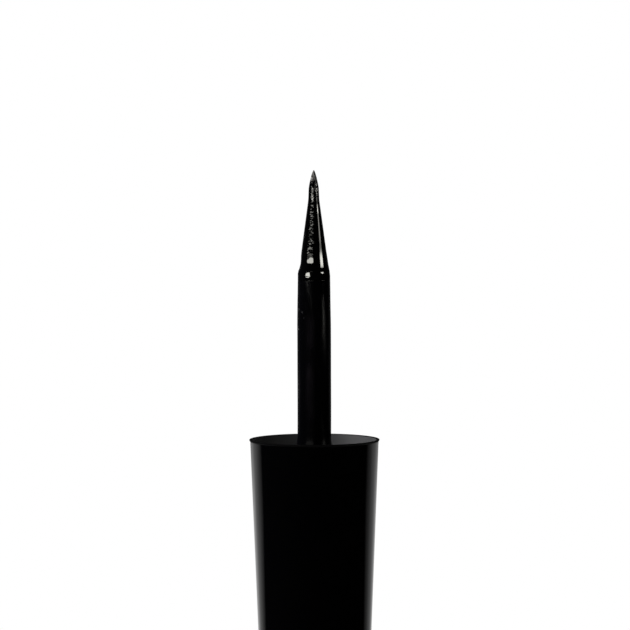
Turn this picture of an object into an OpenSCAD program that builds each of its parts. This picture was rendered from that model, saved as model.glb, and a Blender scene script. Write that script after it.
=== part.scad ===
// Dip-type liquid eyeliner, opened: the applicator stands on its closed end with
// the nib up, and its ink bottle stands beside it. Millimetres, +Z up, origin at
// the centre of the handle's closed end.

/* [Handle] */
// Length of the handle from its closed end to its rim
handle_h = 60; // [58:1:66]
// Diameter of the handle at its closed end
handle_end_d = 8.2; // [7.4:0.1:8.6]
// Diameter of the handle at its rim
handle_mouth_d = 12.9; // [12.6:0.1:13.4]
// Wall of the handle
handle_wall = 0.8; // [0.6:0.05:0.9]
// Thickness of the handle's closed end
handle_floor = 1.6; // [1.2:0.1:2.4]
// Radius on the edge of the closed end
end_round = 0.6; // [0.4:0.1:1]
// Radius on the lips of the rim
lip_round = 0.12; // [0.08:0.01:0.15]
// Thickness of the wall at the rim, above its lead-in
lip_t = 0.3; // [0.3:0.05:0.5]
// Length of the lead-in cone inside the rim
lead_in_h = 1.4; // [1:0.1:1.4]

/* [Inner cap] */
// How far the inner cap sits below the rim
cap_recess = 1.8; // [1.4:0.1:2.4]
// Depth of the threaded cup, from its mouth to its floor
cup_depth = 6.0; // [5.6:0.1:6.4]
// Thickness of the cup's floor
cup_floor = 1.5; // [1.2:0.1:2]
// Length of the spigot that grips the stem
spigot_h = 4.7; // [4:0.1:6]
// Outside diameter of the spigot
spigot_d = 5.2; // [4.8:0.1:5.8]

/* [Thread] */
// Root diameter of the bottle neck
neck_d = 8.0; // [7.8:0.1:8.2]
// Depth of the thread ridges
thread_depth = 0.5; // [0.4:0.05:0.55]
// Pitch of the thread
thread_pitch = 2.0; // [1.8:0.1:2.2]
// Turns of each thread
thread_turns = 1.4; // [1:0.1:1.5]
// Radial clearance between the two threads
thread_gap = 0.1; // [0.05:0.05:0.15]

/* [Liner] */
// Thickness of the sealing liner
liner_t = 0.8; // [0.6:0.1:1]

/* [Stem] */
// Diameter of the stem along its length
stem_d = 3.38; // [3.2:0.02:3.5]
// Diameter of the stem at its top
stem_top_d = 3.22; // [3:0.02:3.3]
// Length of the stem above the rim
stem_above_rim = 17.0; // [14:0.1:20]
// Length of the narrowing at the top
stem_top_h = 5.4; // [3:0.1:6]
// Diameter of the stem's root in the cap
root_d = 4.4; // [4:0.1:4.5]
// Height of the curve from the root to the stem
root_curve_h = 3.2; // [2:0.1:3.4]
// How far that curve ends above the rim
root_rise = 0.8; // [0.2:0.1:1]
// Diameter of the shank in the spigot
shank_d = 3.0; // [2.6:0.1:3.2]

/* [Nib] */
// Length of the nib above the stem
nib_h = 10.0; // [8:0.1:12]
// Diameter where the nib leaves the stem
nib_base_d = 3.0; // [2.6:0.05:3.1]
// Diameter at the narrowest part of the waist
nib_waist_d = 1.1; // [1.04:0.02:1.3]
// Distance from the point down to the waist
nib_waist_at = 2.96; // [2.4:0.05:3.4]
// Diameter where the point begins
nib_point_d = 1.02; // [0.8:0.02:1.04]
// Length of the rounded point
nib_point_h = 1.76; // [1.4:0.02:2.2]
// How sharply the point closes, lower is blunter
nib_point_power = 0.65; // [0.5:0.05:0.8]
// Diameter of the shank in the stem's socket
nib_shank_d = 2.2; // [1.8:0.1:2.3]
// Length of the shank in the stem's socket
nib_shank_h = 5.0; // [4:0.1:7]

/* [Bottle] */
// Distance from the applicator's axis to the bottle's
bottle_x = 20; // [18:1:40]
// Outside diameter of the bottle
bottle_d = 12.9; // [12.6:0.1:13.4]
// Wall of the outer shell
bottle_wall = 0.8; // [0.6:0.05:1]
// Thickness of the outer shell's base
bottle_base = 1.0; // [0.8:0.1:1.4]
// Radius on the bottle's lower edge
bottle_round = 0.8; // [0.5:0.1:1.2]
// Gap between the outer shell and the vial
vial_gap = 0.1; // [0.05:0.05:0.2]
// Wall of the vial
vial_wall = 1.0; // [0.8:0.1:1.2]
// Thickness of the flange that the handle meets
flange_h = 1.0; // [0.8:0.1:1.4]
// Gap left between rim and flange when the seal is tight
rim_gap = 0.2; // [0.1:0.05:0.4]
// Free space between the nib and the vial's floor when closed
nib_clearance = 0.9; // [0.6:0.1:1.5]

/* [Wiper] */
// Bore of the vial's neck, which holds the wiper
neck_bore_d = 6.0; // [5.6:0.1:6.2]
// Diameter of the wiper's flange
wiper_flange_d = 7.6; // [7.2:0.1:7.9]
// Thickness of the wiper's flange
wiper_flange_h = 0.6; // [0.5:0.1:0.8]
// Bore of the wiper's tube
wiper_bore_d = 4.8; // [4.6:0.1:5]
// Bore of the wiper's lip, a squeeze on the stem
wiper_lip_d = 3.1; // [2.9:0.05:3.2]
// Length of the wiper below its flange
wiper_h = 10.9; // [9:0.1:12]
// Length of the cone that closes the tube down to the lip
wiper_cone_h = 2.6; // [2:0.1:3.5]
// Wall of the wiper's cone
wiper_cone_wall = 0.5; // [0.4:0.05:0.6]

/* [Ink] */
// Depth of the ink in the vial
ink_depth = 18.0; // [8:1:20]

/* [Hidden] */
$fn = 96;
eps = 0.01;
curve_steps = 14;
ridge_steps = 20;
ridge_crest = 0.5;
ridge_foot = 1.0;
ridge_bury = 0.15;
bead_h = 0.8;
bead_d = 3.4;
edge = 0.3;

// Heights on the applicator, from the closed end up
cup_mouth_z = handle_h - cap_recess;
cup_floor_z = cup_mouth_z - cup_depth;
cap_base_z = cup_floor_z - cup_floor;
spigot_z = cap_base_z - spigot_h;
seal_z = cup_floor_z + liner_t;
stem_top_z = handle_h + stem_above_rim;
nib_tip_z = stem_top_z + nib_h;

// Radii that the two threads share
neck_r = neck_d / 2;
cup_major_r = neck_r + thread_depth + thread_gap;
liner_r = cup_major_r - thread_gap / 2;

// Heights on the bottle, found by turning the applicator over onto it
nib_reach = nib_tip_z - seal_z;
vial_base_z = bottle_base + vial_gap;
vial_floor_z = vial_base_z + vial_wall;
neck_top_z = vial_floor_z + nib_clearance + nib_reach;
neck_rim_z = neck_top_z - wiper_flange_h;
flange_z = neck_top_z - (handle_h - seal_z) - rim_gap;
shell_top_z = flange_z - flange_h;
vial_r = bottle_d / 2 - bottle_wall - vial_gap;
vial_bore_r = vial_r - vial_wall;
vial_shoulder_z = flange_z - vial_wall;
wiper_lip_z = neck_rim_z - wiper_h;

// Outside radius of the handle at a height
function taper_r(z) = (handle_end_d + (handle_mouth_d - handle_end_d) * z / handle_h) / 2;

// Radius of the handle's bore at a height
function bore_r(z) = taper_r(z) - handle_wall;

// Quarter arc of points about a centre, from one angle to another
function arc(x, z, r, from, to, steps = 6) =
  [for (i = [0:steps]) let (a = from + (to - from) * i / steps) [x + r * cos(a), z + r * sin(a)]];

// Radius of the nib at a depth below its point: power curve, slow waist, straight cone
function nib_r(depth) =
  depth < nib_point_h ? nib_point_d / 2 * pow(depth / nib_point_h, nib_point_power) :
  depth < nib_waist_at ?
    (nib_point_d + (nib_waist_d - nib_point_d) * (depth - nib_point_h) / (nib_waist_at - nib_point_h)) / 2 :
  (nib_waist_d + (nib_base_d - nib_waist_d) * (depth - nib_waist_at) / (nib_h - nib_waist_at)) / 2;

// Helical ridge of trapezoid section on a wall; side is 1 outwards and -1 inwards
module ridge(wall_r, side, height) {
  rings = ceil(thread_turns * ridge_steps);
  function depth_at(i) = thread_depth * min(1, 3 * i / rings, 3 * (rings - i) / rings) + eps;
  points = [
    for (i = [0:rings])
      let (a = 360 * i / ridge_steps, z = height + thread_pitch * i / ridge_steps)
        for (p = [
          [-ridge_bury, -ridge_foot / 2],
          [depth_at(i), -ridge_crest / 2],
          [depth_at(i), ridge_crest / 2],
          [-ridge_bury, ridge_foot / 2]
        ])
          let (r = wall_r + side * p[0])
            [r * cos(a), r * sin(a), z + p[1]]
  ];
  last = 4 * rings;
  sides = [
    for (i = [0:rings - 1], k = [0:3])
      let (a = 4 * i + k, b = 4 * i + (k + 1) % 4, c = b + 4, d = a + 4)
        side > 0 ? [a, b, c, d] : [d, c, b, a]
  ];
  ends = side > 0 ?
    [[3, 2, 1, 0], [last, last + 1, last + 2, last + 3]] :
    [[0, 1, 2, 3], [last + 3, last + 2, last + 1, last]];
  triangles = [for (f = concat(sides, ends), t = [[f[0], f[1], f[2]], [f[0], f[2], f[3]]]) t];
  polyhedron(points = points, faces = triangles, convexity = 8);
}

module handle_shell() {
  rim_r = taper_r(handle_h);
  mouth_r = rim_r - lip_t;
  lead_in_z = handle_h - lead_in_h;
  color("#0b0b0c")
    rotate_extrude()
      polygon(concat(
        [[0, 0]],
        arc(taper_r(end_round) - end_round, end_round, end_round, -90, 0),
        arc(rim_r - lip_round, handle_h - lip_round, lip_round, 0, 90),
        arc(mouth_r + lip_round, handle_h - lip_round, lip_round, 90, 180),
        [[bore_r(lead_in_z), lead_in_z], [bore_r(handle_floor), handle_floor], [0, handle_floor]]
      ));
}

module inner_cap() {
  color("#151517") {
    rotate_extrude()
      polygon([
        [shank_d / 2, spigot_z],
        [spigot_d / 2, spigot_z],
        [spigot_d / 2, cap_base_z],
        [bore_r(cap_base_z), cap_base_z],
        [bore_r(cup_mouth_z), cup_mouth_z],
        [cup_major_r + edge, cup_mouth_z],
        [cup_major_r, cup_mouth_z - edge],
        [cup_major_r, cup_floor_z],
        [shank_d / 2, cup_floor_z]
      ]);
    ridge(cup_major_r, -1, seal_z + ridge_foot);
  }
}

module cap_liner() {
  color("#d8d8d4")
    translate([0, 0, cup_floor_z])
      difference() {
        cylinder(r = liner_r, h = liner_t);
        translate([0, 0, -eps])
          cylinder(d = root_d + thread_gap, h = liner_t + 2 * eps);
      }
}

module stem() {
  root_top_z = handle_h + root_rise;
  root_curve = [
    for (i = [0:curve_steps])
      let (t = i / curve_steps, ease = pow(1 - t, 2))
        [(stem_d + (root_d - stem_d) * ease) / 2, root_top_z - root_curve_h * (1 - t)]
  ];
  color("#101012")
    difference() {
      rotate_extrude()
        polygon(concat(
          [
            [0, spigot_z - bead_h],
            [shank_d / 2, spigot_z - bead_h],
            [bead_d / 2, spigot_z],
            [shank_d / 2, spigot_z],
            [shank_d / 2, cup_floor_z],
            [root_d / 2, cup_floor_z]
          ],
          root_curve,
          [
            [stem_d / 2, stem_top_z - stem_top_h],
            [stem_top_d / 2, stem_top_z - lip_round],
            [stem_top_d / 2 - lip_round, stem_top_z],
            [0, stem_top_z]
          ]
        ));
      translate([0, 0, stem_top_z - nib_shank_h])
        cylinder(d = nib_shank_d, h = nib_shank_h + eps);
    }
}

module nib() {
  point = [for (i = [0:curve_steps]) let (d = nib_point_h * i / curve_steps) [nib_r(d), nib_tip_z - d]];
  color("#08080a")
    rotate_extrude()
      polygon(concat(
        point,
        [
          [nib_r(nib_waist_at), nib_tip_z - nib_waist_at],
          [nib_base_d / 2, stem_top_z],
          [nib_shank_d / 2, stem_top_z],
          [nib_shank_d / 2, stem_top_z - nib_shank_h],
          [0, stem_top_z - nib_shank_h]
        ]
      ));
}

module bottle_shell() {
  bore = bottle_d / 2 - bottle_wall;
  color("#0b0b0c")
    translate([bottle_x, 0, 0])
      rotate_extrude()
        polygon(concat(
          [[0, 0]],
          arc(bottle_d / 2 - bottle_round, bottle_round, bottle_round, -90, 0),
          [[bottle_d / 2, shell_top_z], [bore, shell_top_z], [bore, bottle_base], [0, bottle_base]]
        ));
}

module ink_vial() {
  color("#1d1d20")
    translate([bottle_x, 0, 0]) {
      rotate_extrude()
        polygon([
          [0, vial_base_z],
          [vial_r, vial_base_z],
          [vial_r, shell_top_z],
          [bottle_d / 2, shell_top_z],
          [bottle_d / 2, flange_z - lip_round],
          [bottle_d / 2 - lip_round, flange_z],
          [neck_r, flange_z],
          [neck_r, neck_rim_z],
          [neck_bore_d / 2, neck_rim_z],
          [neck_bore_d / 2, vial_shoulder_z],
          [vial_bore_r, vial_shoulder_z - (vial_bore_r - neck_bore_d / 2)],
          [vial_bore_r, vial_floor_z],
          [0, vial_floor_z]
        ]);
      ridge(neck_r, 1, flange_z + ridge_foot + thread_pitch / 2);
    }
}

module wiper() {
  tube_r = neck_bore_d / 2;
  bore = wiper_bore_d / 2;
  lip = wiper_lip_d / 2;
  color("#e6e4dc")
    translate([bottle_x, 0, 0])
      rotate_extrude()
        polygon([
          [bore, neck_top_z - edge],
          [bore + edge, neck_top_z],
          [wiper_flange_d / 2, neck_top_z],
          [wiper_flange_d / 2, neck_rim_z],
          [tube_r, neck_rim_z],
          [tube_r, wiper_lip_z + wiper_cone_h],
          [lip + wiper_cone_wall, wiper_lip_z],
          [lip, wiper_lip_z],
          [bore, wiper_lip_z + wiper_cone_h]
        ]);
}

module ink() {
  color("#050506")
    translate([bottle_x, 0, vial_floor_z])
      cylinder(r = vial_bore_r, h = ink_depth);
}

handle_shell();
inner_cap();
cap_liner();
stem();
nib();
bottle_shell();
ink_vial();
wiper();
ink();
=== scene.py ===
"""Looks of an opened dip-type liquid eyeliner: the applicator stands nib up beside its ink bottle.

Places, sizes and profiles are worked out in millimetres and put into the meshes in metres. A profile is
a row of (radius, height) points, and angles round an axis start at +X and grow towards +Y.
"""

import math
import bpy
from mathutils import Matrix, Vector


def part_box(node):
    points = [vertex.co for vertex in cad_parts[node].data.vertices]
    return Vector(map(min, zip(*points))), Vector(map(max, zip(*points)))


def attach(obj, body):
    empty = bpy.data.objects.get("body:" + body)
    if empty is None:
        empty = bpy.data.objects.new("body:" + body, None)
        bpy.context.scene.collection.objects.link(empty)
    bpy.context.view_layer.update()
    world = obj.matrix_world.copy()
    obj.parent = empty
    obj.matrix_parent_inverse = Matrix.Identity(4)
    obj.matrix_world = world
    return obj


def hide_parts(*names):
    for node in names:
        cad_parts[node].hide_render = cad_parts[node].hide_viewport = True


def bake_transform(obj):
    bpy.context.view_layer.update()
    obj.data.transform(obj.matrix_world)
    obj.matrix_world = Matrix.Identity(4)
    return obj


bl_info = {
    "name": "Liquid Eyeliner Looks",
    "version": (1, 0, 0),
    "blender": (4, 5, 0),
    "location": "View3D > Sidebar > Eyeliner",
    "description": "Builds the surfaces, finishes and studio of an opened liquid eyeliner",
    "category": "Object",
}

from types import SimpleNamespace

import bmesh
import bpy
import numpy as np
from bpy.props import FloatProperty, FloatVectorProperty, PointerProperty
from bpy.types import Operator, Panel, PropertyGroup
from mathutils import Matrix, Vector

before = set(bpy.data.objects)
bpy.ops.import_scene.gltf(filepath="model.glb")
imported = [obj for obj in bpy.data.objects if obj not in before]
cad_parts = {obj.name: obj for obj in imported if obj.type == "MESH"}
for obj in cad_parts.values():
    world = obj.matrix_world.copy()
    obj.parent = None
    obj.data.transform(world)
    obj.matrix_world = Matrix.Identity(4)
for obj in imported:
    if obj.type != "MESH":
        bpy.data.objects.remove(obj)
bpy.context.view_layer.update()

MM = 0.001
TURN = 2 * math.pi

APPLICATOR = "applicator"
BOTTLE = "bottle"

# Points of a mesh closer than this, in metres, are one point, and edges bent further than this are sharp
WELD = 1e-8
SHARP = math.radians(34)


def span(node, axis=2):
    """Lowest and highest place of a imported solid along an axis, in millimetres."""
    low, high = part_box(node)
    return low[axis] / MM, high[axis] / MM


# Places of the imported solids, in millimetres
_, HANDLE_TOP = span("handle_shell")
SPIGOT_END, CUP_MOUTH = span("inner_cap")
LINER_BOTTOM, LINER_TOP = span("cap_liner")
STEM_BOTTOM, STEM_TOP = span("stem")
NIB_BOTTOM, NIB_TIP = span("nib")
_, BOTTLE_SHELL_TOP = span("bottle_shell")
VIAL_BOTTOM, NECK_RIM = span("ink_vial")
WIPER_LIP, NECK_TOP = span("wiper")
INK_BOTTOM, INK_TOP = span("ink")
_, RIM_RADIUS = span("handle_shell", axis=0)
BOTTLE_LEFT, BOTTLE_RIGHT = span("bottle_shell", axis=0)
BOTTLE_RADIUS = (BOTTLE_RIGHT - BOTTLE_LEFT) / 2
BOTTLE_X = (BOTTLE_RIGHT + BOTTLE_LEFT) / 2


def linear(code):
    """Turns an sRGB hex colour into linear red, green and blue."""
    parts = [int(code[i : i + 2], 16) / 255 for i in (1, 3, 5)]
    return tuple(c / 12.92 if c <= 0.04045 else ((c + 0.055) / 1.055) ** 2.4 for c in parts)


def length(name, description, millimetres):
    """A property that holds a length, given in millimetres."""
    return FloatProperty(
        name=name, description=description, default=millimetres * MM, min=0.0, unit="LENGTH", precision=5
    )


def paint(name, description, code):
    """A property that holds a colour, given as an sRGB hex code."""
    return FloatVectorProperty(
        name=name, description=description, default=linear(code), size=3, min=0, max=1, subtype="COLOR"
    )


def tilt(name, description, degrees):
    """A property that holds an angle, given in degrees."""
    return FloatProperty(name=name, description=description, default=math.radians(degrees), subtype="ANGLE")


def in_mm(group):
    """The lengths of a group of sizes as plain numbers of millimetres, under the same names."""
    return SimpleNamespace(**{name: getattr(group, name) / MM for name in group.__annotations__})


def settings(context, group):
    """A group of sizes in plain millimetres, and the finishes."""
    return in_mm(getattr(context.scene, group)), context.scene.eyeliner_finishes


class ApplicatorSizes(PropertyGroup):
    """Sizes of the handle, its insert, the stem and the nib."""

    handle_height: length("Handle height", "From the closed end to the rim", HANDLE_TOP)
    end_diameter: length("Closed end", "Diameter of the handle's taper at its closed end", 8.2)
    rim_radius: length("Rim radius", "Radius of the handle at its rim", RIM_RADIUS)
    wall: length("Handle wall", "Thickness of the handle's wall", 0.8)
    floor: length("Handle floor", "Thickness of the handle's closed end", 1.6)
    lip: length("Lip", "Thickness of the handle's wall at its rim, with the flare", 0.3)
    flare: length("Flare", "How far the rim's edge stands out from the handle's taper", 0.08)
    lead_in: length("Lead-in", "Length of the cone inside the rim", 1.4)
    cup_radius: length("Cup radius", "Radius of the cup's wall, at the thread's root", 4.6)
    cup_floor: length("Cup floor", "Thickness of the cup's floor", 1.5)
    spigot_radius: length("Spigot radius", "Radius of the spigot that grips the stem", 2.6)
    shank_radius: length("Shank radius", "Radius of the stem inside the spigot", 1.5)
    bead: length("Bead", "How far the snap bead below the spigot stands out", 0.2)
    root_radius: length("Root radius", "Radius of the stem's root in the cup", 2.2)
    root_end: length("Root end", "Height above the rim where the root's curve ends", 0.55)
    root_curve: length("Root curve", "Height over which the root's curve falls", 3.2)
    stem_diameter: length("Stem diameter", "Diameter of the stem along its length", 3.38)
    stem_top_diameter: length("Stem top", "Diameter of the stem at its top", 3.22)
    stem_narrowing: length("Narrowing", "Length over which the stem narrows to its top", 5.4)
    nib_base_diameter: length("Nib base", "Diameter where the nib leaves the stem", 3.0)
    nib_waist_diameter: length("Nib waist", "Diameter at the narrowest part of the waist", 1.1)
    nib_waist_depth: length("Waist depth", "Distance from the point down to the waist", 2.96)
    nib_point_diameter: length("Nib point", "Diameter where the point begins", 1.02)
    nib_point_length: length("Point length", "Length of the rounded point", 1.76)
    nib_shank_radius: length("Nib shank", "Radius of the nib in the stem's socket", 1.1)
    coat_length: length("Coat length", "How far the wet coat runs down over the stem", 1.1)
    draw_in: length("Draw-in", "How far the stem's top draws in under the wet coat", 0.13)


class BottleSizes(PropertyGroup):
    """Sizes of the bottle, its vial, wiper and ink."""

    wall: length("Shell wall", "Thickness of the outer shell's wall", 0.8)
    base: length("Shell base", "Thickness of the outer shell's base", 1.0)
    vial_gap: length("Vial gap", "Gap between the shell and the vial", 0.1)
    vial_wall: length("Vial wall", "Thickness of the vial's wall", 1.0)
    flange: length("Flange", "Thickness of the vial's flange", 1.0)
    neck_radius: length("Neck radius", "Radius of the neck at the thread's root", 4.0)
    neck_bore: length("Neck bore", "Radius of the neck's bore, which holds the wiper", 3.0)
    wiper_flange: length("Wiper flange", "Radius of the wiper's flange", 3.8)
    wiper_bore: length("Wiper bore", "Radius of the wiper's tube inside", 2.4)
    wiper_lip: length("Wiper lip", "Radius of the wiper's lip", 1.55)
    wiper_cone: length("Wiper cone", "Length of the cone that closes the tube", 2.6)
    thread_depth: length("Thread depth", "How far each thread stands from its wall", 0.5)
    thread_pitch: length("Thread pitch", "Rise of the thread in one turn", 2.0)
    thread_start: length("Thread start", "From the flange, or from the liner, up to the thread", 1.0)
    meniscus: length("Meniscus", "How far the ink climbs the vial's wall", 0.25)


class Finishes(PropertyGroup):
    """Colours and finishes that a user would change."""

    shell: paint("Shell", "Colour of the handle and the bottle's shell", "#030304")
    # Painted light: the bore is painted a far lighter grey than the shell's same ABS, to stand in for light
    # inside the mouth
    bore: paint("Bore", "Colour of the handle's bore", "#525253")
    lip: paint("Lip", "Colour of the matt land on the handle's rim", "#060607")
    insert: paint("Insert", "Colour of the inner cap and the vial", "#131315")
    foam: paint("Liner foam", "Colour of the sealing liner", "#D8D8D4")
    stem: paint("Stem", "Colour of the stem under its film of ink", "#050507")
    # Painted highlight: the colour of the paler streaks painted down the stem's front where faint highlights
    # fall
    painted_highlight_streak: paint("Smear", "Colour of the pale smears on the stem", "#201D21")
    # The dried drop's raised edge is painted paler than the stem: a painted highlight on a real mark
    drop: paint("Dried drop", "Colour of the dried drop's edge on the stem", "#3C3C3E")
    ink: paint("Ink", "Colour of the wet ink", "#040405")
    # The nib's point is painted this grey: partly dried fibres, partly a painted highlight at its end and
    # down its right edge
    fibre: paint("Fibre", "Colour of the fibres that have dried at the nib's point", "#B0ADA9")
    elastomer: paint("Wiper", "Colour of the wiper", "#E6E4DC")
    ground: paint("Floor", "Colour of the studio floor", "#EDEDEB")
    lamp: paint("Lamps", "Colour of the studio lamps", "#FFFEF5")
    orange_peel: length("Orange peel", "Spacing of the ripple in the polished shells", 1.6)
    felt_grain: length("Felt grain", "Spacing of the fibre ends that stand in the wet coat", 0.3)


class Studio(PropertyGroup):
    """The camera and the floor."""

    lens: FloatProperty(name="Lens", description="Focal length, mm", default=200.0, min=1.0)
    distance: length("Distance", "From the rim's centre to the camera", 351.5)
    elevation: tilt("Elevation", "Camera above the rim", 5.2)
    pitch: tilt("Pitch", "How far the camera looks down", 3.168)
    heading: tilt("Heading", "How far it turns from +Y to the left", -0.015)
    roll: tilt("Roll", "Turn about its own axis", -0.15)
    floor_radius: length("Floor radius", "Radius of the studio floor", 178.0)


# Shapes


def eased(corners, steps=8):
    """Profile through corners of (radius, height, ease), all in millimetres.

    A corner with an ease is cut back that far along both its sides, and the quadratic curve
    (1-t)^2 a + 2t(1-t) corner + t^2 b joins the cuts a and b. A point just outside each cut keeps the
    curve's shading off the long faces beside it.
    """
    t, guard = np.linspace(0, 1, steps + 1)[:, None], 0.2
    points = [np.array([corners[0][:2]], float)]
    for before, here, after in zip(corners, corners[1:], corners[2:]):
        corner, ease = np.array(here[:2], float), here[2]
        if not ease:
            points.append(corner[None])
            continue
        back, on = (np.array(end[:2], float) - corner for end in (before, after))
        back, on = back / np.linalg.norm(back), on / np.linalg.norm(on)
        a, b = corner + back * ease, corner + on * ease
        curve = (1 - t) ** 2 * a + 2 * t * (1 - t) * corner + t**2 * b
        points.append(np.vstack([a + back * ease * guard, curve, b + on * ease * guard]))
    points.append(np.array([corners[-1][:2]], float))
    return np.vstack(points)


def spaced(profile, step, wall=None, fine=0.09):
    """The same profile with more points, so that neighbours lie about a step apart at most.

    Along a wall of a given radius, which carries a thread, they lie about fine apart at most.
    """
    run = np.concatenate([[0], np.cumsum(np.linalg.norm(np.diff(profile, axis=0), axis=1))])
    extra, least = np.arange(step, run[-1], step), step / 3
    if wall:
        close = np.arange(fine, run[-1], fine)
        close = close[np.abs(np.interp(close, run, profile[:, 0]) - wall) < 0.001]
        extra, least = np.union1d(extra, close), fine / 3
    extra = extra[np.abs(extra[:, None] - run[None]).min(axis=1) > least]
    stops = np.union1d(run, extra)
    return np.column_stack([np.interp(stops, run, profile[:, k]) for k in (0, 1)])


def smooth(low, high, value):
    """0 below low, 1 above high, and 3t^2 - 2t^3 between them."""
    t = np.clip((value - low) / (high - low), 0, 1)
    return t * t * (3 - 2 * t)


def thread(wall, side, start, pitch, depth, turns=1.4, foot=1.0, crest=0.5):
    """Swell of a screw thread on a wall of that radius, outwards for side 1 and inwards for side -1.

    The ridge's middle rises by pitch in each turn from start. Its height is depth on the crest, falls to
    nothing at the foot, and runs out over a third of its length at both ends.
    """

    def swell(angle, radius, height):
        along = angle[..., None] / TURN + np.arange(math.ceil(turns))
        off = np.abs(height[..., None] - start - pitch * along)
        ridge = 1 - smooth(crest / 2, foot / 2, off)
        fade = np.clip(3 * np.minimum(along, turns - along) / turns, 0, 1)
        on_wall = np.abs(radius - wall) < 0.01
        return side * depth * (ridge * fade).max(axis=-1) * on_wall

    return swell


def lathe(name, profile, finishes, swell=None, part=None, turn=128, x=0.0):
    """Solid of revolution about a vertical axis at x, from a closed profile.

    Point (i, j) lies at angle 2 pi j / turn, at height z_i and radius r_i + swell(angle_j, r_i, z_i).
    part(r, z) gives the index of the finish at the middle of each row. Rows at radius 0 close into poles.
    """
    radius, height = profile[:, :1], profile[:, 1:]
    angle = np.linspace(0, TURN, turn, endpoint=False)[None]
    reach = radius + np.zeros_like(angle)
    if swell:
        reach = reach + swell(angle + 0 * radius, radius + 0 * angle, height + 0 * angle) * (radius > 1e-6)
    points = np.stack([x + reach * np.cos(angle), reach * np.sin(angle), height + 0 * angle], axis=-1) * MM
    row = np.arange(len(profile) - 1)[:, None] * turn
    here, after = np.arange(turn)[None], (np.arange(turn)[None] + 1) % turn
    faces = np.stack([row + here, row + after, row + turn + after, row + turn + here], axis=-1).reshape(-1, 4)

    mesh = bpy.data.meshes.new(name)
    mesh.from_pydata(points.reshape(-1, 3), [], faces)
    for material in finishes:
        mesh.materials.append(material)
    if part:
        middle = (profile[1:] + profile[:-1]) / 2
        kinds = np.repeat(part(middle[:, 0], middle[:, 1]), turn)
        mesh.polygons.foreach_set("material_index", kinds.astype(np.int32))
    solid = bmesh.new()
    solid.from_mesh(mesh)
    bmesh.ops.remove_doubles(solid, verts=solid.verts, dist=WELD)
    bmesh.ops.recalc_face_normals(solid, faces=solid.faces)
    solid.to_mesh(mesh)
    solid.free()
    mesh.shade_smooth()
    mesh.set_sharp_from_angle(angle=SHARP)
    piece = bpy.data.objects.new(name, mesh)
    bpy.context.scene.collection.objects.link(piece)
    return piece


def place(piece, body, slot, *nodes):
    """Makes a piece ride on a body and stand for its nodes, which it hides. The slot is not used."""
    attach(piece, body)
    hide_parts(*nodes)


# Finishes


def feed(node, inputs):
    """Gives a node's inputs their values. A value that is a socket is linked."""
    for name, value in inputs.items():
        if isinstance(value, bpy.types.NodeSocket):
            node.id_data.links.new(value, node.inputs[name])
        else:
            node.inputs[name].default_value = value


def add(tree, kind, inputs=None, **settings):
    """Adds a shader node of a kind with its settings and its inputs. Returns its first open output."""
    node = tree.nodes.new("ShaderNode" + kind)
    for name, value in settings.items():
        setattr(node, name, value)
    feed(node, inputs or {})
    return next((output for output in node.outputs if output.enabled), None)


def compute(tree, operation, a, b=None):
    """Adds a math node that works on one or two values. Returns its output."""
    return add(tree, "Math", {0: a} if b is None else {0: a, 1: b}, operation=operation)


def ranged(tree, value, before=(0, 1), after=(0, 1), soft=False):
    """Maps a value from one range to another and stops at its ends, gently if soft. Returns its output."""
    ends = {"From Min": before[0], "From Max": before[1], "To Min": after[0], "To Max": after[1]}
    way = "SMOOTHSTEP" if soft else "LINEAR"
    return add(tree, "MapRange", {**ends, "Value": value}, interpolation_type=way)


def noise(tree, at, size, detail, **more):
    """Adds noise with features of a size in metres. Returns its output."""
    return add(tree, "TexNoise", {"Scale": 1 / size, "Detail": detail, "Vector": at, **more})


def bumps(tree, height, strength, depth, **more):
    """Adds bumps with a depth in millimetres where the height runs from 0 to 1. Returns their normal."""
    return add(tree, "Bump", {"Strength": strength, "Distance": depth * MM, "Height": height, **more})


def tinted(tree, a, b, factor):
    """Mixes two colours, each a socket or red, green and blue. Returns its output."""
    a, b = (end if isinstance(end, bpy.types.NodeSocket) else (*end, 1) for end in (a, b))
    return add(tree, "Mix", {"A": a, "B": b, "Factor": factor}, data_type="RGBA")


def follow(tree, source, rows, low, high):
    """A level that follows rows of (value, level) as the source's value runs from low to high."""
    ramp = add(tree, "ValToRGB", {"Fac": ranged(tree, source, (low, high))})
    stops = ramp.node.color_ramp.elements
    for index, (value, level) in enumerate(rows):
        stop = stops[index] if index < 2 else stops.new(1.0)
        stop.position, stop.color = (value - low) / (high - low), (level, level, level, 1)
    return ramp


def finish(name, colour, roughness, ior):
    """A new material with a plain shader. Returns it, its tree, its shader and its Object coordinates."""
    material = bpy.data.materials.new(name)
    material.use_nodes = True
    material.diffuse_color = (*colour, 1)
    tree = material.node_tree
    tree.nodes.clear()
    surface = add(tree, "BsdfPrincipled", {"Base Color": (*colour, 1), "Roughness": roughness, "IOR": ior})
    add(tree, "OutputMaterial", {"Surface": surface})
    return material, tree, surface.node, add(tree, "TexCoord").node.outputs["Object"]


def polished_abs(colours):
    """ABS moulded against a polished die: near-black, mirror-like, with a faint slow ripple from the melt."""
    material, tree, shader, at = finish("abs_polished_black", colours.shell, 0.03, 1.52)
    ripple = noise(tree, at, colours.orange_peel, 1, Roughness=0.4)
    haze = noise(tree, at, 9 * MM, 3)
    rough = ranged(tree, haze, after=(0.02, 0.05))
    bump = bumps(tree, ripple, 0.25, 0.004)
    feed(shader, {"Roughness": rough, "Normal": bump})
    return material


def bore_with_painted_light(colours):
    """The same ABS off an unpolished core: satin, and painted a grey far lighter than the shell's as painted
    light inside the mouth, where side light catches it.
    """
    material, tree, shader, at = finish("abs_satin_core_painted_light", colours.bore, 0.5, 1.5)
    drag = add(tree, "Mapping", {"Scale": (1, 1, 0.15), "Vector": at})
    marks = noise(tree, drag, 0.25 * MM, 2)
    bump = bumps(tree, marks, 0.3, 0.01)
    feed(shader, {"Specular IOR Level": 0.12, "Normal": bump})
    return material


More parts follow.
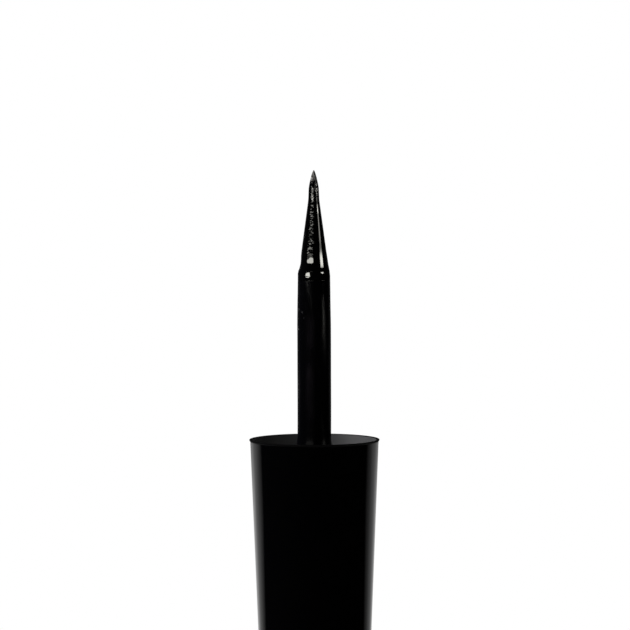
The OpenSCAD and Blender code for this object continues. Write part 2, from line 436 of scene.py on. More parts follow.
def dull_lip(colours):
    """The rim's parting edge in the same ABS: a fine matt land that reflects little."""
    material, tree, shader, at = finish("abs_matt_lip", colours.lip, 0.6, 1.5)
    grain = noise(tree, at, 0.08 * MM, 2)
    bump = bumps(tree, grain, 0.3, 0.004)
    feed(shader, {"Specular IOR Level": 0.05, "Normal": bump})
    return material


def moulded_pp(colours):
    """Polypropylene as moulded: black with a waxy satin and the die's fine spark-erosion grain."""
    material, tree, shader, at = finish("polypropylene_satin_black", colours.insert, 0.42, 1.49)
    grain = noise(tree, at, 0.12 * MM, 3)
    rough = ranged(tree, grain, after=(0.36, 0.5))
    bump = bumps(tree, grain, 0.25, 0.006)
    feed(shader, {"Roughness": rough, "Normal": bump})
    return material


def closed_cell_foam(colours):
    """Cut sheet of closed-cell polyethylene foam: off-white, matt, with cells of about 0.15 mm."""
    material, tree, shader, at = finish("foam_closed_cell", colours.foam, 0.85, 1.45)
    cells = add(tree, "TexVoronoi", {"Scale": 1 / (0.15 * MM), "Vector": at})
    tone = tinted(tree, linear("#BDBDB8"), colours.foam, cells)
    bump = bumps(tree, cells, 0.5, 0.03)
    feed(shader, {"Base Color": tone, "Normal": bump})
    return material


# A drop of ink that dried on the stem's left side: its middle, its radius across, and its width as a
# share of its height
DROP_X, DROP_Y, DROP_Z = -1.5 * MM, -0.8 * MM, 72.1 * MM
DROP_RADIUS = 0.72 * MM
DROP_OVAL = 0.72
# How much higher the dried runs on the stem's right sit, and the place of the painted highlight streak across
# its front
RUNS_RISE = 4.9 * MM
PAINTED_HIGHLIGHT_X = -0.42 * MM
# How strong the painted highlight streak is along the stem, in rows of height in millimetres and share
PAINTED_HIGHLIGHT_LOWER = ((61.0, 0.1), (62.5, 0.5), (66.8, 0.8), (67.9, 0.2))
PAINTED_HIGHLIGHT_UPPER = ((69.0, 0.3), (69.9, 0.8), (71.8, 0.7), (72.8, 0.05))
# Heights in millimetres between which these rows' scale runs
PAINTED_HIGHLIGHT_SCALE = (60, 80)


def inked_acetal(colours):
    """Moulded acetal rod under a film of half-dried ink: black, dull, with soft runs, a dried drop whose edge
    is painted paler as a highlight, and a painted highlight streak down its front.
    """
    material, tree, shader, at = finish("acetal_dried_ink", colours.stem, 0.12, 1.48)
    x, _, z = add(tree, "SeparateXYZ", {"Vector": at}).node.outputs
    # The film is dull at the foot and shines from 2 mm above the rim
    foot, clear = (HANDLE_TOP + 0.8) * MM, (HANDLE_TOP + 2) * MM
    film = ranged(tree, z, (foot, clear), (0.018, 0.2))
    dulled = ranged(tree, z, (clear, foot), (0, 0.18))
    # The runs on the right sit higher than those on the left
    slide = ranged(tree, x, (0.2 * MM, 0.7 * MM), (0, -RUNS_RISE))
    slide = add(tree, "CombineXYZ", {"Z": slide})
    slid = add(tree, "VectorMath", {0: at, 1: slide}, operation="ADD")
    drag = add(tree, "Mapping", {"Scale": (1, 1, 0.16), "Vector": slid})
    runs = noise(tree, drag, 0.9 * MM, 2, Roughness=0.45)
    rough = ranged(tree, runs, (0.5, 0.72), (0.05, 0.2))
    rough = compute(tree, "MAXIMUM", rough, dulled)
    bump = bumps(tree, runs, 0.6, 0.02)
    # The drop's edge is a ring, broken where the ink ran off: raised, and painted paler as a highlight
    oval = add(tree, "Mapping", {"Scale": (1, 1, DROP_OVAL), "Vector": at})
    away = add(tree, "VectorMath", {0: oval, 1: (DROP_X, DROP_Y, DROP_Z * DROP_OVAL)}, operation="DISTANCE")
    off = compute(tree, "SUBTRACT", away, DROP_RADIUS)
    off = compute(tree, "ABSOLUTE", off)
    edge = ranged(tree, off, (0, 0.07 * MM), (1, 0), soft=True)
    gaps = noise(tree, at, 0.5 * MM, 0)
    gaps = ranged(tree, gaps, (0.42, 0.56))
    edge = compute(tree, "MULTIPLY", edge, gaps)
    bump = bumps(tree, edge, 0.8, 0.015, Normal=bump)
    # A painted highlight, a paler streak, runs down the front, left of the middle, in two patches
    beside = compute(tree, "ADD", x, -PAINTED_HIGHLIGHT_X)
    beside = compute(tree, "ABSOLUTE", beside)
    painted_highlight_streak = ranged(tree, beside, (0.05 * MM, 0.6 * MM), (1, 0), soft=True)
    above = compute(tree, "MULTIPLY", z, 1 / MM)
    uneven = ranged(tree, runs, (0.35, 0.6), (0.5, 1))
    for share in (follow(tree, above, PAINTED_HIGHLIGHT_LOWER + PAINTED_HIGHLIGHT_UPPER, *PAINTED_HIGHLIGHT_SCALE), uneven):
        painted_highlight_streak = compute(tree, "MULTIPLY", painted_highlight_streak, share)
    tone = tinted(tree, colours.stem, colours.painted_highlight_streak, painted_highlight_streak)
    tone = tinted(tree, tone, colours.drop, edge)
    feed(shader, {"Base Color": tone, "Specular IOR Level": film, "Roughness": rough, "Normal": bump})
    return material


# How much the nib's coat shines, in rows of depth below the point in millimetres and specular level
SHINE_LEFT = ((0, 0.5), (2.9, 0.5), (3.4, 0.2), (8.6, 0.2), (8.7, 0.04))
SHINE_POINT = ((0, 0.16), (2.2, 0.16), (2.5, 0.03), (3.3, 0.03), (3.5, 0.36), (4.1, 0.8), (4.4, 0.16))
SHINE_CONE = ((7.0, 0.12), (7.4, 0.07), (7.8, 0.07), (8.15, 0.17), (8.45, 0.38), (8.7, 0.5), (9.3, 0.5))
SHINE_RIGHT = SHINE_POINT + SHINE_CONE + ((9.5, 0.42), (9.65, 0.25), (9.8, 0.1), (9.95, 0.02))
# Depth at which these rows' scale ends
SHINE_END = 12
# Lobes of the drops on the collar's front: middle across and in depth, half width and half height, in
# millimetres, and specular level. Two make the upper drop, two the lower one, and one the right one.
LOBES = (
    (-0.28, 9.0, 0.26, 0.32, 0.5),
    (-0.53, 9.08, 0.19, 0.19, 0.5),
    (-0.54, 10.4, 0.28, 0.2, 0.67),
    (-0.7, 10.6, 0.2, 0.26, 0.67),
    (0.74, 10.2, 0.19, 0.22, 0.42),
)


def lobe_shine(tree, across, depth):
    """The specular level that the drops' lobes give, and 0 outside them."""
    flat = add(tree, "CombineXYZ", {"X": across, "Y": depth})
    most = None
    for x, y, wide, high, level in LOBES:
        centred = {"Location": (-x / wide, -y / high, 0), "Scale": (1 / wide, 1 / high, 1), "Vector": flat}
        out = add(tree, "VectorMath", {0: add(tree, "Mapping", centred)}, operation="LENGTH")
        lobe = ranged(tree, out, (1.15, 0.85), (0, level))
        most = compute(tree, "MAXIMUM", most, lobe) if most else lobe
    return most


def wet_felt(colours):
    """Felt soaked in ink: a wet black coat, level on the right, with fibre ends in it on the left."""
    material, tree, shader, at = finish("felt_wet_ink", colours.ink, 0.05, 1.6)
    grain = noise(tree, at, colours.felt_grain, 1)
    # Millimetres across from the axis, and of depth below the point
    x, _, z = add(tree, "SeparateXYZ", {"Vector": at}).node.outputs
    across = compute(tree, "MULTIPLY", x, 1 / MM)
    height = compute(tree, "MULTIPLY", z, 1 / MM)
    depth = compute(tree, "SUBTRACT", NIB_TIP, height)
    # Fibres stand on the left above the collar, and all round the point
    left = ranged(tree, across, (0.35, -0.05), (0.02, 1), soft=True)
    side = ranged(tree, depth, (8.75, 8.6), (0.02, 1), soft=True)
    for share in (left, 0.95):
        side = compute(tree, "MULTIPLY", side, share)
    tip = ranged(tree, depth, (3, 1.9))
    dry = compute(tree, "MAXIMUM", side, tip)
    bump = bumps(tree, grain, dry, 0.045)
    rough = ranged(tree, dry, after=(0.05, 0.09))
    # On the left the shine breaks into beads above the collar
    drops = noise(tree, at, 0.6 * MM, 0)
    drops = ranged(tree, drops, (0.4, 0.56), (0.4, 1))
    beads = follow(tree, depth, SHINE_LEFT, 0, SHINE_END)
    beads = compute(tree, "MULTIPLY", beads, drops)
    level = follow(tree, depth, SHINE_RIGHT, 0, SHINE_END)
    wet = add(tree, "Mix", {"A": level, "B": beads, "Factor": left}, data_type="FLOAT")
    wet = compute(tree, "MAXIMUM", wet, lobe_shine(tree, across, depth))
    # The point is painted grey: its end, partly where its fibres have dried and partly a painted highlight,
    # and its right side further down, a painted rim highlight
    end = ranged(tree, depth, (1.15, 0.85))
    painted_rim_highlight = ranged(tree, across, (0.06, 0.17))
    above = ranged(tree, depth, (2.7, 2))
    painted_rim_highlight = compute(tree, "MULTIPLY", painted_rim_highlight, above)
    end = compute(tree, "MAXIMUM", end, painted_rim_highlight)
    specks = ranged(tree, grain, (0.4, 0.6))
    dry_grey_and_highlight = compute(tree, "MULTIPLY", end, specks)
    tone = tinted(tree, colours.ink, colours.fibre, dry_grey_and_highlight)
    feed(shader, {"Base Color": tone, "Specular IOR Level": wet, "Roughness": rough, "Normal": bump})
    return material


def stained_elastomer(colours, name="elastomer_milky", stain=0.0):
    """Soft moulded elastomer: milky, slightly translucent, and stained by ink where the stem is wiped."""
    material, tree, shader, at = finish(name, colours.elastomer, 0.4, 1.43)
    smears = noise(tree, at, 1.1 * MM, 4, Distortion=0.6)
    spread = ranged(tree, smears, (0.62 - stain * 0.6, 0.8 - stain * 0.5))
    tone = tinted(tree, colours.elastomer, colours.ink, spread)
    bump = bumps(tree, smears, 0.2, 0.02)
    feed(shader, {"Base Color": tone, "Normal": bump, "Subsurface Weight": 0.2, "Subsurface Scale": 0.4 * MM})
    return material


def liquid_ink(colours):
    """Black film-forming ink: a still, mirror-flat liquid with a trace of film on top."""
    material, tree, shader, at = finish("ink_liquid", colours.ink, 0.03, 1.4)
    film = noise(tree, at, 1.5 * MM, 2)
    feed(shader, {"Roughness": ranged(tree, film, after=(0.02, 0.1))})
    return material


# Share of the white background that a reflection sees, by its heading in degrees from straight behind
# the object, left negative: a white sweep behind and beside it, and dark cards in front.
SWEEP_LEFT = ((-69.5, 0.0), (-68, 0.03), (-66, 0.11), (-63.5, 0.2), (-60, 0.275), (-56, 0.38))
SWEEP_BACK = ((-48, 0.54), (-38, 0.68), (-30, 1.0), (20, 0.9), (27, 0.73), (34, 0.57))
SWEEP_RIGHT = ((40, 0.46), (49, 0.38), (57, 0.21), (64, 0.13), (69, 0.04), (72, 0.0))
# Light that matt surfaces get from all round
AMBIENT = 0.04


def sweep_level(tree, x, y, lean=None):
    """The sweep's level along a direction's X and Y. A lean moves its heading away from the middle."""
    heading = compute(tree, "ARCTAN2", x, y)
    if lean:
        side = compute(tree, "SIGN", heading)
        shift = compute(tree, "MULTIPLY", side, lean)
        heading = compute(tree, "ADD", heading, shift)
    degrees = compute(tree, "DEGREES", heading)
    return follow(tree, degrees, SWEEP_LEFT + SWEEP_BACK + SWEEP_RIGHT, -180, 180)


def studio_paper(colours, radius):
    """Matt background paper: pale where the object stands, and pure background white towards its edge."""
    material, tree, shader, at = finish("paper_matt_pale", colours.ground, 0.9, 1.4)
    fibre = noise(tree, at, 0.6 * MM, 2)
    feed(shader, {"Normal": bumps(tree, fibre, 0.05, 0.02)})
    out = add(tree, "VectorMath", {0: at}, operation="LENGTH")
    fade = ranged(tree, out, (radius * 0.4, radius * 0.97), (0.45, 1), soft=True)
    rays = add(tree, "LightPath").node.outputs
    glossy = rays["Is Glossy Ray"]
    seen = compute(tree, "MAXIMUM", rays["Is Camera Ray"], glossy)
    seen = compute(tree, "MAXIMUM", seen, rays["Is Transmission Ray"])
    share = compute(tree, "MULTIPLY", seen, fade)
    # Reflections see the studio's sweep and cards in the floor's edge, as they do beyond it
    x, y, _ = add(tree, "SeparateXYZ", {"Vector": at}).node.outputs
    level = add(tree, "Mix", {"A": 1.0, "B": sweep_level(tree, x, y), "Factor": glossy}, data_type="FLOAT")
    white = add(tree, "Emission", {"Color": (1, 1, 1, 1), "Strength": level})
    both = add(tree, "MixShader", {0: share, 1: shader.outputs[0], 2: white})
    output = next(node for node in tree.nodes if node.type == "OUTPUT_MATERIAL")
    feed(output, {"Surface": both})
    return material


# Pieces


def handle_radius(sizes, height):
    """Radius of the handle's straight taper at a height."""
    end = sizes.end_diameter / 2
    return end + (sizes.rim_radius - end) * height / sizes.handle_height


def bore_radius(sizes, height):
    """Radius of the handle's bore at a height, below the lead-in."""
    return handle_radius(sizes, height) - sizes.wall


class EYELINER_OT_handle(Operator):
    """Builds the tapered gloss shell that is both cap and handle"""

    bl_idname = "eyeliner.handle"
    bl_label = "Handle Shell"

    def execute(self, context):
        sizes, colours = settings(context, "eyeliner_applicator")
        top, rim = sizes.handle_height, sizes.rim_radius + sizes.flare
        cone, flare_foot, flare_full = top - sizes.lead_in, top - 0.2, top - 0.11
        corners = [
            (0, 0, 0),
            (handle_radius(sizes, 0.3), 0, 0.62),
            (handle_radius(sizes, flare_foot), flare_foot, 0.03),
            (rim, flare_full, 0.03),
            (rim, top, 0.04),
            (rim - sizes.lip, top, 0.1),
            (bore_radius(sizes, cone), cone, 0.25),
            (bore_radius(sizes, sizes.floor), sizes.floor, 0.6),
            (0, sizes.floor, 0),
        ]

        def part(radius, height):
            """Gloss outside, satin inside, matt on the lip and its flare between them."""
            skin = handle_radius(sizes, height)
            inside = (radius < skin - sizes.lip * 0.6) & (height > sizes.floor - 0.1)
            land = (height > top - 0.05) | (~inside & (height > flare_foot - 0.02))
            return np.select([land, inside], [2, 1], 0)

        finishes = [polished_abs(colours), bore_with_painted_light(colours), dull_lip(colours)]
        piece = lathe("handle_gloss", spaced(eased(corners, 10), 1.0), finishes, part=part, turn=192)
        place(piece, APPLICATOR, "gloss_black_shell", "handle_shell")
        return {"FINISHED"}


class EYELINER_OT_inner_cap(Operator):
    """Builds the threaded insert inside the handle, with the spigot that grips the stem"""

    bl_idname = "eyeliner.inner_cap"
    bl_label = "Inner Cap"

    def execute(self, context):
        sizes, colours = settings(context, "eyeliner_applicator")
        bottle = in_mm(context.scene.eyeliner_bottle)
        mouth, cup, spigot = CUP_MOUTH, LINER_BOTTOM, SPIGOT_END
        floor = cup - sizes.cup_floor
        corners = [
            (sizes.shank_radius, spigot + 1, 0),
            (sizes.shank_radius, spigot, 0.1),
            (sizes.spigot_radius, spigot, 0.25),
            (sizes.spigot_radius, floor, 0.3),
            (bore_radius(sizes, floor), floor, 0.3),
            (bore_radius(sizes, mouth), mouth, 0.1),
            (sizes.cup_radius, mouth, 0.3),
            (sizes.cup_radius, cup, 0.15),
            (sizes.shank_radius, cup, 0),
            (sizes.shank_radius, spigot + 1, 0),
        ]
        start = LINER_TOP + bottle.thread_start
        ridge = thread(sizes.cup_radius, -1, start, bottle.thread_pitch, bottle.thread_depth)
        profile = spaced(eased(corners), 0.8, wall=sizes.cup_radius)
        piece = lathe("inner_cap_satin", profile, [moulded_pp(colours)], swell=ridge, turn=144)
        place(piece, APPLICATOR, "insert_plastic", "inner_cap")
        return {"FINISHED"}


class EYELINER_OT_liner(Operator):
    """Builds the foam ring that seals the bottle's neck"""

    bl_idname = "eyeliner.liner"
    bl_label = "Cap Liner"

    def execute(self, context):
        sizes, colours = settings(context, "eyeliner_applicator")
        gap = 0.05
        inner, outer = sizes.root_radius + gap, sizes.cup_radius - gap
        low, high = LINER_BOTTOM, LINER_TOP
        middle = (low + high) / 2
        corners = [
            (inner, middle, 0),
            (inner, low, 0.08),
            (outer, low, 0.08),
            (outer, high, 0.12),
            (inner, high, 0.12),
            (inner, middle, 0),
        ]
        profile = spaced(eased(corners, 5), 0.25)
        piece = lathe("liner_foam_ring", profile, [closed_cell_foam(colours)], turn=96)
        place(piece, APPLICATOR, "liner_foam", "cap_liner")
        return {"FINISHED"}


def stem_radius(sizes, height):
    """Radius of the stem above the cup's floor.

    A root of constant radius runs into a curve that falls as the square of what is left of its height,
    then a straight rod, which narrows towards its top.
    """
    rod = sizes.stem_diameter / 2
    rest = np.clip((HANDLE_TOP + sizes.root_end - height) / sizes.root_curve, 0, 1)
    near_top = np.clip((height - STEM_TOP) / sizes.stem_narrowing + 1, 0, 1)
    return rod + (sizes.root_radius - rod) * rest**2 - (rod - sizes.stem_top_diameter / 2) * near_top


class EYELINER_OT_stem(Operator):
    """Builds the slim stem, with its widened root, its shank and its retaining bead"""

    bl_idname = "eyeliner.stem"
    bl_label = "Stem"

    def execute(self, context):
        sizes, colours = settings(context, "eyeliner_applicator")
        cup, spigot, bead = LINER_BOTTOM, SPIGOT_END, STEM_BOTTOM
        top, socket, socket_end = STEM_TOP, sizes.nib_shank_radius, NIB_BOTTOM
        shank = eased(
            [
                (0, bead, 0),
                (sizes.shank_radius, bead, 0.12),
                (sizes.shank_radius + sizes.bead, spigot, 0.05),
                (sizes.shank_radius, spigot, 0),
                (sizes.shank_radius, cup, 0),
                (sizes.root_radius, cup, 0),
            ]
        )
        # Rows lie closer over the top 6 mm, and the rod's top draws in where the nib's wet coat lies over it
        edge = top - 0.12
        heights = np.concatenate([np.linspace(cup + 0.02, top - 6, 120), np.linspace(top - 5.9, edge, 50)])
        drawn = sizes.draw_in * smooth(top - 0.95, top - 0.6, heights)
        rod = np.column_stack([stem_radius(sizes, heights) - drawn, heights])
        radius = rod[-1, 0]
        mouth = [(radius, edge, 0), (radius, top, 0.1), (socket, top, 0), (socket, socket_end, 0)]
        mouth = eased(mouth + [(0, socket_end, 0)])
        profile = spaced(np.vstack([shank, rod, mouth[1:]]), 0.8)

        def film(angle, radius, height):
            """Runs of dried ink on the open rod: slow waves round it and along it, about 0.01 mm high."""
            wave = np.sin(3 * angle + 0.5 * height) + 0.7 * np.sin(5 * angle - 0.8 * height + 1.3)
            on_rod = (radius > sizes.shank_radius + 0.05) & (height > cup + 1)
            return 0.006 * wave * on_rod * (1 - smooth(top - 3.3, top - 1.3, height))

        piece = lathe("stem_inked", profile, [inked_acetal(colours)], swell=film, turn=96)
        place(piece, APPLICATOR, "stem_plastic", "stem")
        return {"FINISHED"}


def softened(outline, depth, reach, steps):
    """Mean of an outline over a reach each way from a depth, weighted 1 - |t| at t times the reach."""
    t = np.linspace(-1, 1, steps)
    weight = 1 - np.abs(t)
    return (outline(depth[..., None] + t * reach) * weight).sum(axis=-1) / weight.sum()


def nib_outline(sizes, depth):
    """Radius of the nib at a depth below its point: a power curve, a slow waist and a cone."""
    end, waist = sizes.nib_point_length, sizes.nib_waist_depth
    long = NIB_TIP - STEM_TOP - waist
    point = sizes.nib_point_diameter * (np.clip(depth, 0, end) / end) ** 0.65
    below_point = np.clip((depth - end) / (waist - end), 0, 1)
    below_waist = np.maximum(depth - waist, 0) / long
    swell = (sizes.nib_waist_diameter - sizes.nib_point_diameter) * below_point
    cone = (sizes.nib_base_diameter - sizes.nib_waist_diameter) * below_waist
    return (point + swell + cone) / 2


def nib_radius(sizes, depth):
    """The nib's outline under its coat of ink, which rounds its corners, and less so at the point."""
    reach = np.minimum(0.45, 0.8 * depth)
    return softened(lambda deep: nib_outline(sizes, deep), depth, reach[..., None], 15)


# Depth below the point where the coat's collar begins
COLLAR_START = 7.2
# Outlines of the wet coat where it runs off the nib onto the stem, for five sides: rows of depth below
# the point and radius, in millimetres
COAT_START = ((COLLAR_START, 1.122), (8.2, 1.257))
COAT_RIGHT = COAT_START + ((8.6, 1.322), (9.0, 1.385), (9.4, 1.44), (9.8, 1.515), (10.2, 1.58), (10.8, 1.65))
COAT_LEFT = COAT_START + ((8.6, 1.292), (9.0, 1.306), (9.4, 1.342), (9.85, 1.47), (10.2, 1.59), (10.5, 1.66))
COAT_UPPER_DROP = COAT_START + ((8.6, 1.312), (8.72, 1.324), (9.3, 1.365), (9.42, 1.385))
COAT_FRONT_LEFT = COAT_UPPER_DROP + ((10.1, 1.567), (10.16, 1.576), (10.55, 1.604), (10.9, 1.66))
COAT_FRONT = COAT_UPPER_DROP + ((9.98, 1.5), (10.06, 1.66))
COAT_SLOPE = ((COLLAR_START, 1.122), (7.7, 1.188), (8.2, 1.25), (8.7, 1.309), (9.2, 1.365), (9.8, 1.433))
COAT_FRONT_RIGHT = COAT_SLOPE + ((10.08, 1.595), (10.3, 1.62), (10.6, 1.66))
# The same outlines with the headings in degrees where each takes over from the one before
COAT = (
    (0, 180, COAT_LEFT),
    (180, 247, COAT_FRONT_LEFT),
    (253, 255.5, COAT_FRONT),
    (262, 303, COAT_FRONT_RIGHT),
    (303, 360, COAT_RIGHT),
)


def coat_radius(rows, depth):
    """Radius along an outline, as its mean over 0.08 mm each way."""
    depths, radii = np.array(rows).T
    return softened(lambda deep: np.interp(deep, depths, radii), depth, 0.08, 9)


class EYELINER_OT_nib(Operator):
    """Builds the pointed felt nib under its wet coat, which runs down over the stem's top"""

    bl_idname = "eyeliner.nib"
    bl_label = "Nib"

    def execute(self, context):
        sizes, colours = settings(context, "eyeliner_applicator")
        tip, top, foot = NIB_TIP, STEM_TOP, NIB_BOTTOM
        long = tip - top
        point = np.concatenate([[0], np.geomspace(0.004, sizes.nib_point_length, 40)])
        step, last = 0.06, long + sizes.coat_length
        depth = np.concatenate([point, np.arange(sizes.nib_point_length + step, last, step)])
        coat = np.column_stack([nib_radius(sizes, depth), tip - depth])
        hem = stem_radius(sizes, coat[-1, 1]) - 0.05
        tuck = np.array([(hem, coat[-1, 1] - 0.02), (hem, top - 0.05), (sizes.nib_shank_radius, top - 0.05)])
        shank = eased([tuple(tuck[-1]) + (0,), (sizes.nib_shank_radius, foot, 0.1), (0, foot, 0)])
        profile = np.vstack([coat, tuck, shank[1:]])

        def collar(angle, radius, height):
            """Takes the coat from the cone to the stem's top, along outlines that blend from side to side."""
            deep, side = tip - height, np.degrees(angle)
            shape = before = coat_radius(COAT_RIGHT, deep)
            for start, full, rows in COAT:
                after = coat_radius(rows, deep)
                shape = shape + (after - before) * smooth(start, full, side)
                before = after
            hem = stem_radius(sizes, height) + 0.006 * smooth(last, long, deep)
            outside = np.abs(radius - nib_radius(sizes, deep)) < 0.001
            begun = smooth(COLLAR_START, COLLAR_START + 0.3, deep)
            return (np.minimum(shape, hem) - radius) * begun * outside

        piece = lathe("nib_wet", profile, [wet_felt(colours)], swell=collar, turn=128)
        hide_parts("nib")
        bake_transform(piece)
        return {"FINISHED"}


class EYELINER_OT_bottle_shell(Operator):
    """Builds the bottle's gloss outer sleeve"""

    bl_idname = "eyeliner.bottle_shell"
    bl_label = "Bottle Shell"

    def execute(self, context):
        sizes, colours = settings(context, "eyeliner_bottle")
        outer, top = BOTTLE_RADIUS, BOTTLE_SHELL_TOP
        bore = outer - sizes.wall
        corners = [
            (0, 0, 0),
            (outer, 0, 0.85),
            (outer, top, 0.06),
            (bore, top, 0.06),
            (bore, sizes.base, 0.3),
            (0, sizes.base, 0),
        ]
        profile = spaced(eased(corners, 10), 1.0)
        piece = lathe("bottle_gloss", profile, [polished_abs(colours)], turn=192, x=BOTTLE_X)
        place(piece, BOTTLE, "gloss_black_shell", "bottle_shell")
        return {"FINISHED"}


class EYELINER_OT_vial(Operator):
    """Builds the ink vial with its flange and threaded neck"""

    bl_idname = "eyeliner.vial"
    bl_label = "Ink Vial"

    def execute(self, context):
        sizes, colours = settings(context, "eyeliner_bottle")
        outer = BOTTLE_RADIUS - sizes.wall - sizes.vial_gap
        inner, low, shelf = outer - sizes.vial_wall, VIAL_BOTTOM, BOTTLE_SHELL_TOP
        flange, rim, bore = shelf + sizes.flange, NECK_RIM, sizes.neck_bore
        shoulder = flange - sizes.vial_wall
        corners = [
            (0, low, 0),
            (outer, low, 0.4),
            (outer, shelf, 0),
            (BOTTLE_RADIUS, shelf, 0.05),
            (BOTTLE_RADIUS, flange, 0.14),
            (sizes.neck_radius, flange, 0.12),
            (sizes.neck_radius, rim, 0.08),
            (bore, rim, 0.08),
            (bore, shoulder, 0.2),
            (inner, shoulder - (inner - bore), 0.4),
            (inner, INK_BOTTOM, 0.4),
            (0, INK_BOTTOM, 0),
        ]
        start = flange + sizes.thread_start + sizes.thread_pitch / 2
        ridge = thread(sizes.neck_radius, 1, start, sizes.thread_pitch, sizes.thread_depth)
        profile = spaced(eased(corners), 0.8, wall=sizes.neck_radius)
        piece = lathe("vial_satin", profile, [moulded_pp(colours)], swell=ridge, turn=144, x=BOTTLE_X)
        place(piece, BOTTLE, "vial_plastic", "ink_vial")
        return {"FINISHED"}


class EYELINER_OT_wiper(Operator):
    """Builds the soft wiper in the neck"""

    bl_idname = "eyeliner.wiper"
    bl_label = "Wiper"

    def execute(self, context):
        sizes, colours = settings(context, "eyeliner_bottle")
        top, rim, lip = NECK_TOP, NECK_RIM, WIPER_LIP
        cone = lip + sizes.wiper_cone
        corners = [
            (sizes.wiper_bore, rim, 0),
            (sizes.wiper_bore, top, 0.3),
            (sizes.wiper_flange, top, 0.15),
            (sizes.wiper_flange, rim, 0.08),
            (sizes.neck_bore, rim, 0),
            (sizes.neck_bore, cone, 0.3),
            (sizes.wiper_lip + 0.5, lip, 0.08),
            (sizes.wiper_lip, lip, 0.08),
            (sizes.wiper_bore, cone, 0.5),
            (sizes.wiper_bore, rim, 0),
        ]

        def part(radius, height):
            """Stained all over the bore, and clean outside it."""
            return ((radius < sizes.wiper_bore + 0.12) & (height < top - 0.02)).astype(int)

        finishes = [stained_elastomer(colours), stained_elastomer(colours, "elastomer_stained", 1.0)]
        profile = spaced(eased(corners), 0.4)
        piece = lathe("wiper_milky", profile, finishes, part=part, turn=96, x=BOTTLE_X)
        place(piece, BOTTLE, "wiper_rubber", "wiper")
        return {"FINISHED"}


class EYELINER_OT_ink(Operator):
    """Builds the ink in the vial, with the curved edge where it climbs the wall"""

    bl_idname = "eyeliner.ink"
    bl_label = "Ink"

    def execute(self, context):
        sizes, colours = settings(context, "eyeliner_bottle")
        low, top = INK_BOTTOM, INK_TOP
        wall = BOTTLE_RADIUS - sizes.wall - sizes.vial_gap - sizes.vial_wall
        radius = np.linspace(0, wall, 40)
        surface = np.column_stack([radius, top - sizes.meniscus * (1 - np.exp((radius - wall) / 0.8))])
        base = eased([(0, low, 0), (wall, low, 0.35), (wall, top, 0)])
        profile = spaced(np.vstack([base, surface[::-1][1:]]), 1.5)
        piece = lathe("ink_pool", profile, [liquid_ink(colours)], turn=96, x=BOTTLE_X)
        place(piece, BOTTLE, "black_ink", "ink")
        return {"FINISHED"}


# Stage

# Heights above the horizon where the cards' edges begin to draw in and stop, and how far they draw in
LEAN_START, LEAN_END, LEAN = math.radians(-8.7), math.radians(-11.7), math.radians(12)
# Heights where the sweep is at its thinnest and at its full level, and those levels
THIN_HEIGHT, FULL_HEIGHT = math.radians(-4.7), math.radians(-7.2)
THIN, FULL = 0.1, 0.75
# The rim's centre, and the distance from it to each lamp, in metres
RIM = Vector((0, 0, HANDLE_TOP * MM))
LAMP_DISTANCE = 0.8


def studio_world():
    """White for the camera, ambient light for matt surfaces, and the sweep and cards for reflections."""
    world = bpy.data.worlds.new("studio")
    world.use_nodes = True
    tree = world.node_tree
    tree.nodes.clear()
    way = add(tree, "TexCoord").node.outputs["Generated"]
    x, y, z = add(tree, "SeparateXYZ", {"Vector": way}).node.outputs
    height = compute(tree, "ARCSINE", z)
    # The cards lean: their edges draw in by 4 degrees for each degree below their start
    lean = ranged(tree, height, (LEAN_START, LEAN_END), (0, LEAN))
    sweep = sweep_level(tree, x, y, lean)
    # The sweep is low: it thins out towards the horizon
    low = ranged(tree, height, (THIN_HEIGHT, FULL_HEIGHT), (THIN, FULL))
    seen = compute(tree, "MULTIPLY", sweep, low)
    rays = add(tree, "LightPath").node.outputs
    glossy = add(tree, "Mix", {"A": AMBIENT, "B": seen, "Factor": rays["Is Glossy Ray"]}, data_type="FLOAT")
    direct = compute(tree, "MAXIMUM", rays["Is Camera Ray"], rays["Is Transmission Ray"])
    level = add(tree, "Mix", {"A": glossy, "B": 1.0, "Factor": direct}, data_type="FLOAT")
    shade = add(tree, "Background", {"Color": (1, 1, 1, 1), "Strength": level})
    add(tree, "OutputWorld", {"Surface": shade})
    return world


def from_rim(azimuth, elevation, distance):
    """Point at that distance from the rim's centre.

    Azimuth and elevation are in degrees: azimuth 0 is towards the camera and 90 towards +X.
    """
    a, e = math.radians(azimuth), math.radians(elevation)
    way = Vector((math.sin(a) * math.cos(e), -math.cos(a) * math.cos(e), math.sin(e)))
    return RIM + way * distance


def lamp(name, azimuth, elevation, wide, high, radiance, colour, glossy=True, diffuse=True):
    """Oval lamp facing the rim, sized by the degrees that it fills, of a given radiance."""
    light = bpy.data.lights.new(name, "AREA")
    light.shape = "ELLIPSE"
    light.size = 2 * LAMP_DISTANCE * math.tan(math.radians(wide / 2))
    light.size_y = 2 * LAMP_DISTANCE * math.tan(math.radians(high / 2))
    light.energy = radiance * math.pi * light.size * light.size_y * math.pi / 4
    light.color = colour
    holder = bpy.data.objects.new(name, light)
    holder.location = from_rim(azimuth, elevation, LAMP_DISTANCE)
    aim = RIM - holder.location
    holder.rotation_euler = aim.to_track_quat("-Z", "Y").to_euler()
    holder.visible_glossy, holder.visible_diffuse = glossy, diffuse
    bpy.context.scene.collection.objects.link(holder)


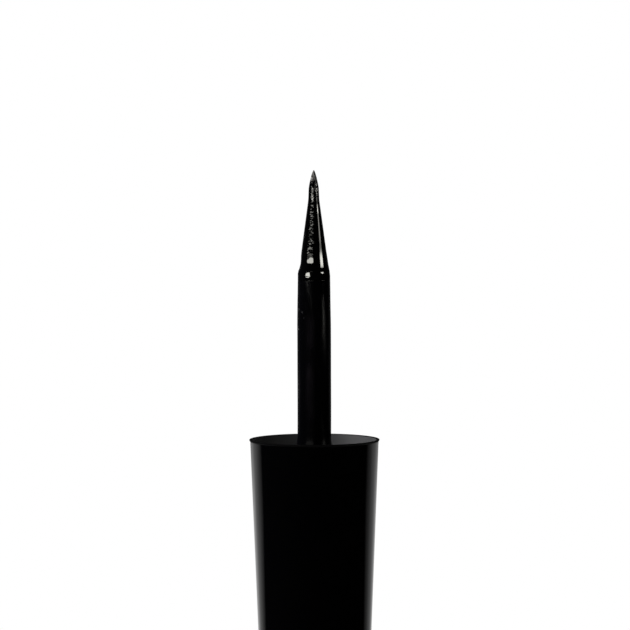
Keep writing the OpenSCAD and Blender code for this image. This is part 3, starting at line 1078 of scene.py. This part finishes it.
class EYELINER_OT_stage(Operator):
    """Builds the floor, the background, the lamps and the camera"""

    bl_idname = "eyeliner.stage"
    bl_label = "Stage"

    def execute(self, context):
        scene, studio, colours = context.scene, context.scene.eyeliner_studio, context.scene.eyeliner_finishes
        scene.view_settings.view_transform = "Standard"
        scene.world = studio_world()

        # The floor's top lies a hair under the pieces
        radius, top, bottom = studio.floor_radius / MM, -0.02, -0.5
        disc = np.array([(0, bottom), (radius, bottom), (radius, top), (0, top)])
        floor = lathe("floor", spaced(disc, 12), [studio_paper(colours, studio.floor_radius)], turn=96)

        warm, white = colours.lamp, (1, 1, 1)
        lamp("left_softbox", -34, 6.9, 56, 9.4, 9, warm, diffuse=False)
        lamp("right_strip", 67.5, 7.9, 24, 11.4, 13.5, warm, diffuse=False)
        lamp("left_key", -76, 22, 50, 26, 4.7, white, glossy=False)
        lamp("back_key", -112, 20, 26, 26, 13.5, white, glossy=False)
        lamp("top_back", -140, 60, 60, 60, 1.3, white, glossy=False)

        camera = bpy.data.objects.new("camera", bpy.data.cameras.new("camera"))
        camera.data.lens = studio.lens
        turned = Matrix.Rotation(studio.heading, 4, "Z") @ Matrix.Rotation(math.pi / 2 - studio.pitch, 4, "X")
        spot = from_rim(0, math.degrees(studio.elevation), studio.distance)
        camera.matrix_world = Matrix.Translation(spot) @ turned @ Matrix.Rotation(studio.roll, 4, "Z")
        scene.collection.objects.link(camera)
        scene.camera = camera
        return {"FINISHED"}


class EYELINER_PT_panel(Panel):
    """Lists the pieces, the sizes and the finishes"""

    bl_label = "Liquid Eyeliner"
    bl_idname = "EYELINER_PT_panel"
    bl_space_type = "VIEW_3D"
    bl_region_type = "UI"
    bl_category = "Eyeliner"

    def draw(self, context):
        for maker in MAKERS:
            self.layout.operator(maker.bl_idname)
        for group in GROUPS:
            box = self.layout.box()
            values = getattr(context.scene, group)
            for name in values.__annotations__:
                box.prop(values, name)


MAKERS = (
    EYELINER_OT_handle,
    EYELINER_OT_inner_cap,
    EYELINER_OT_liner,
    EYELINER_OT_stem,
    EYELINER_OT_nib,
    EYELINER_OT_bottle_shell,
    EYELINER_OT_vial,
    EYELINER_OT_wiper,
    EYELINER_OT_ink,
    EYELINER_OT_stage,
)
GROUPS = {
    "eyeliner_applicator": ApplicatorSizes,
    "eyeliner_bottle": BottleSizes,
    "eyeliner_finishes": Finishes,
    "eyeliner_studio": Studio,
}


def register():
    for kind in (*GROUPS.values(), *MAKERS, EYELINER_PT_panel):
        bpy.utils.register_class(kind)
    for name, kind in GROUPS.items():
        setattr(bpy.types.Scene, name, PointerProperty(type=kind))


def unregister():
    for name in GROUPS:
        delattr(bpy.types.Scene, name)
    for kind in reversed((*GROUPS.values(), *MAKERS, EYELINER_PT_panel)):
        bpy.utils.unregister_class(kind)


def main():
    """Builds every piece and the stage."""
    register()
    for maker in MAKERS:
        group, call = maker.bl_idname.split(".")
        getattr(getattr(bpy.ops, group), call)()


if __name__ == "__main__":
    main()
